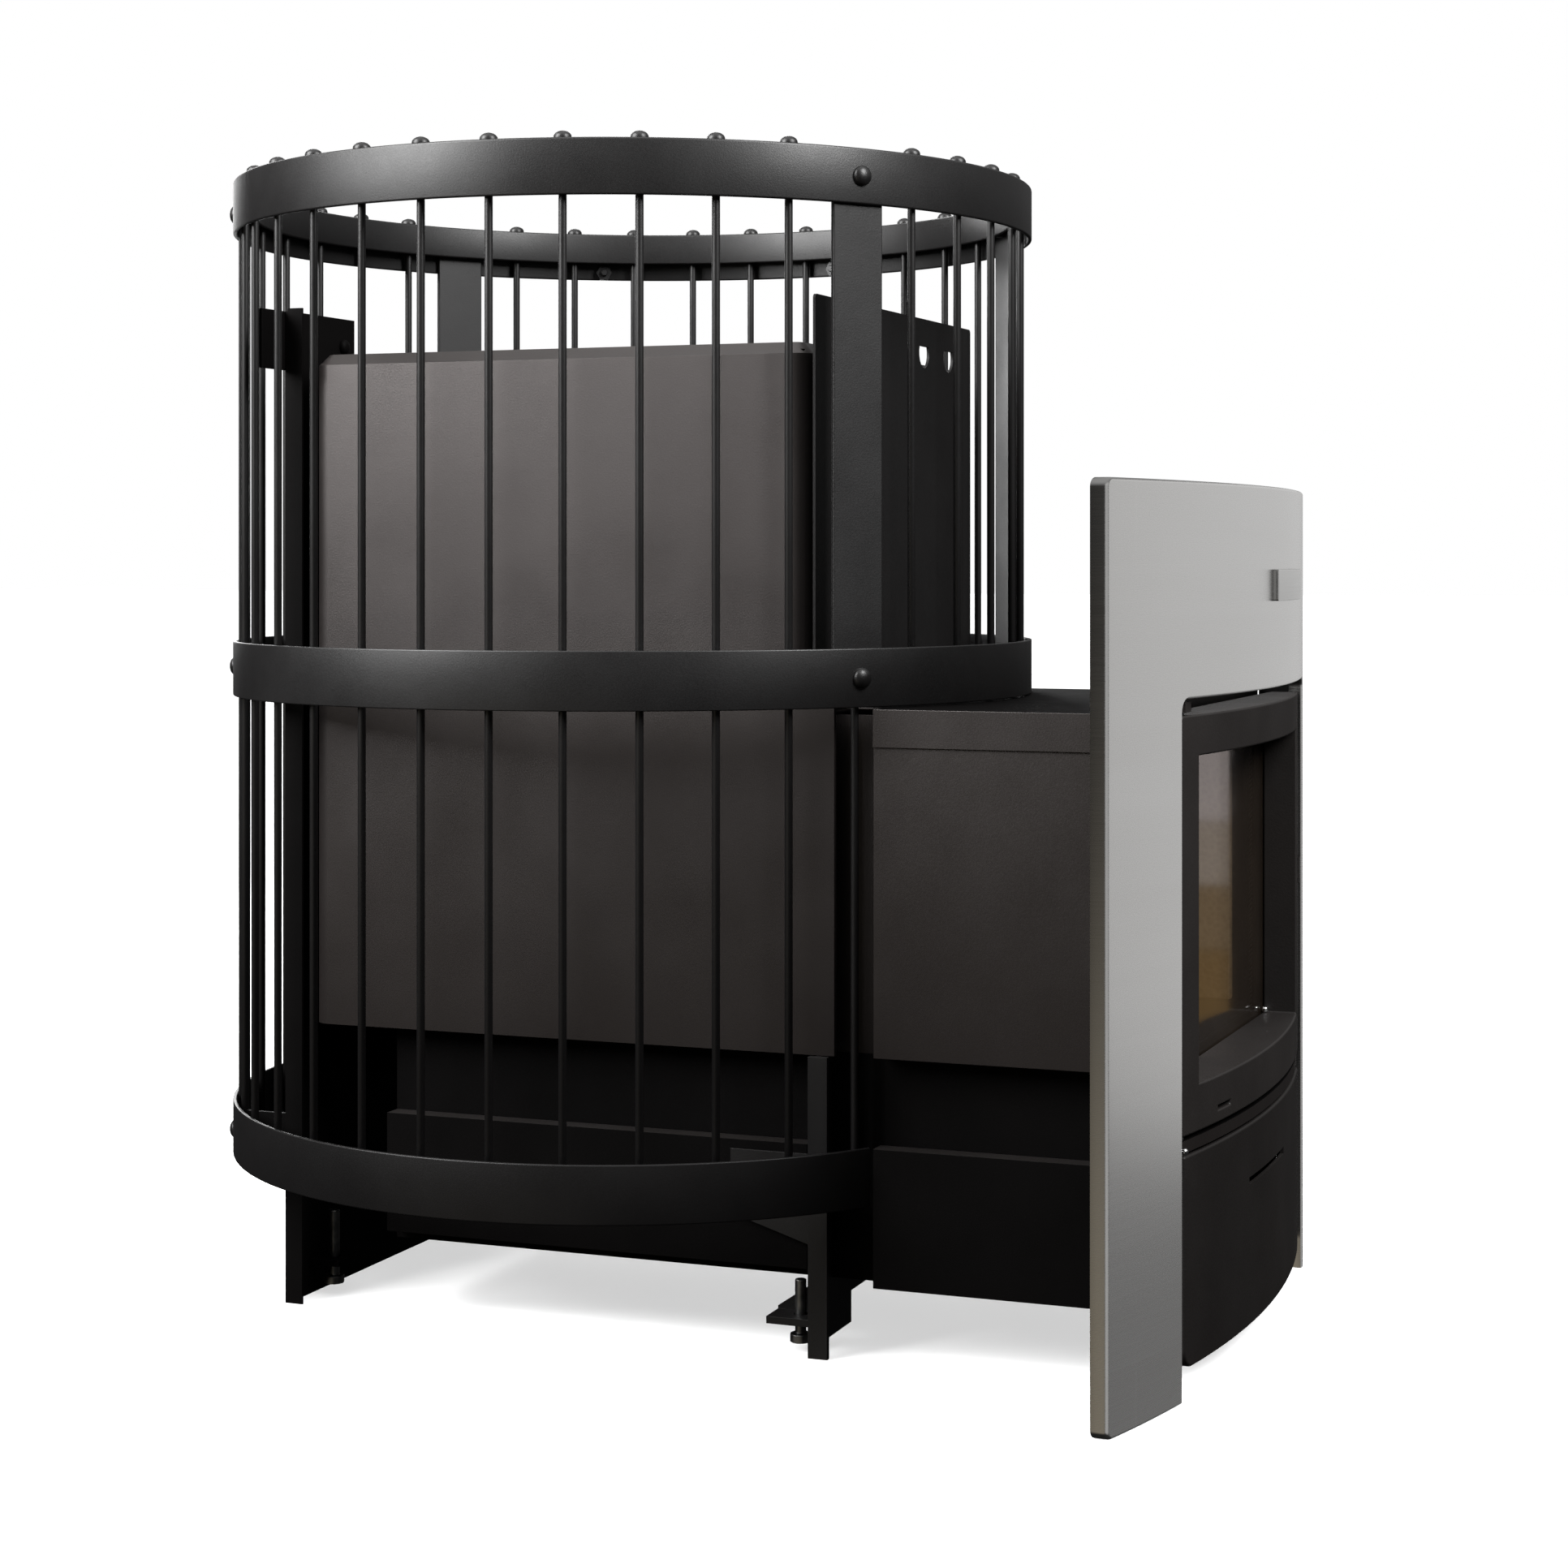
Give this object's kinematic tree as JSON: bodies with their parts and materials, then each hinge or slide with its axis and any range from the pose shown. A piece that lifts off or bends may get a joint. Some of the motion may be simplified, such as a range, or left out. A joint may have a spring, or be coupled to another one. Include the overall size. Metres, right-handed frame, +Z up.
{
  "type": "wood burning sauna stove",
  "caption": "Wood burning sauna stove fed through a wall: firebox in a round open cage for stones, fire tunnel, glass door and ash drawer in a curved steel surround.",
  "frame": {"origin": "on the floor, under the middle of the bounding box", "axes": "+Z up, the fire door faces -Y, +X to the right seen from the door"},
  "size_m": [0.6, 0.795, 0.8255],
  "materials": {
    "black_coat": "satin",
    "grey_coat": "matte",
    "brushed_steel": "brushed",
    "cast_iron": "matte",
    "firebrick": "matte",
    "fire_glass": "gloss",
    "rope_seal": "matte",
    "zinc_steel": "satin"
  },
  "bodies": {
    "stove_body": {"cage_rod_01": "black_coat", "cage_rod_02": "black_coat", "cage_rod_03": "black_coat", "cage_rod_04": "black_coat", "cage_rod_05": "black_coat", "cage_rod_06": "black_coat", "cage_rod_07": "black_coat", "cage_rod_08": "black_coat", "cage_rod_09": "black_coat", "cage_rod_10": "black_coat", "cage_rod_11": "black_coat", "cage_rod_12": "black_coat", "cage_rod_13": "black_coat", "cage_rod_14": "black_coat", "cage_rod_15": "black_coat", "cage_rod_16": "black_coat", "cage_rod_17": "black_coat", "cage_rod_18": "black_coat", "cage_rod_19": "black_coat", "cage_rod_20": "black_coat", "cage_rod_21": "black_coat", "cage_rod_22": "black_coat", "cage_rod_23": "black_coat", "cage_rod_24": "black_coat", "cage_rod_25": "black_coat", "cage_rod_26": "black_coat", "cage_upright_front_left": "black_coat", "cage_upright_front_right": "black_coat", "cage_upright_rear_left": "black_coat", "cage_upright_rear_right": "black_coat", "top_ring": "black_coat", "middle_ring": "black_coat", "bottom_ring": "black_coat", "front_heat_shield": "black_coat", "rear_heat_shield": "black_coat", "rear_bracket": "black_coat", "base_frame": "black_coat", "front_legs": "black_coat", "flue_collar": "black_coat", "firebox_body": "grey_coat", "tunnel_casing": "grey_coat", "tunnel_cover": "grey_coat", "front_surround": "brushed_steel", "baffle_plate": "cast_iron", "grate": "cast_iron", "firebrick_left": "firebrick", "firebrick_right": "firebrick", "firebrick_rear": "firebrick", "door_hinge_pin": "zinc_steel"},
    "door": {"door_frame": "cast_iron", "door_glass": "fire_glass", "glass_retainer": "cast_iron", "door_gasket": "rope_seal"},
    "ash_drawer": {"ash_drawer": "cast_iron"},
    "catch_bolt": {"catch_bolt": "zinc_steel"},
    "air_slide": {"air_slide": "zinc_steel"},
    "levelling_screw_front_left": {"levelling_screw_front_left": "zinc_steel"},
    "levelling_screw_front_right": {"levelling_screw_front_right": "zinc_steel"},
    "levelling_screw_rear_left": {"levelling_screw_rear_left": "zinc_steel"},
    "levelling_screw_rear_right": {"levelling_screw_rear_right": "zinc_steel"}
  },
  "joints": [
    {"name": "door_hinge", "type": "hinge", "parent": "stove_body", "child": "door", "pos_m": [-0.172, -0.3675, 0.305], "axis": [0, 0, -1], "range_deg": [0, 110]},
    {"name": "ash_drawer_slide", "type": "slide", "parent": "stove_body", "child": "ash_drawer", "axis": [0, -1, 0], "range_m": [0, 0.3]},
    {"name": "air_slide_travel", "type": "slide", "parent": "door", "child": "air_slide", "axis": [1, 0, 0], "range_m": [-0.007, 0.007]},
    {"name": "catch_bolt_travel", "type": "slide", "parent": "door", "child": "catch_bolt", "axis": [-1, 0, 0], "range_m": [0, 0.003], "stiffness_N_per_m": 600},
    {"name": "levelling_screw_front_left_thread", "type": "slide", "parent": "stove_body", "child": "levelling_screw_front_left", "axis": [0, 0, 1], "range_m": [-0.002, 0.007]},
    {"name": "levelling_screw_front_right_thread", "type": "slide", "parent": "stove_body", "child": "levelling_screw_front_right", "axis": [0, 0, 1], "range_m": [-0.002, 0.007]},
    {"name": "levelling_screw_rear_left_thread", "type": "slide", "parent": "stove_body", "child": "levelling_screw_rear_left", "axis": [0, 0, 1], "range_m": [-0.002, 0.007]},
    {"name": "levelling_screw_rear_right_thread", "type": "slide", "parent": "stove_body", "child": "levelling_screw_rear_right", "axis": [0, 0, 1], "range_m": [-0.002, 0.007]}
  ]
}
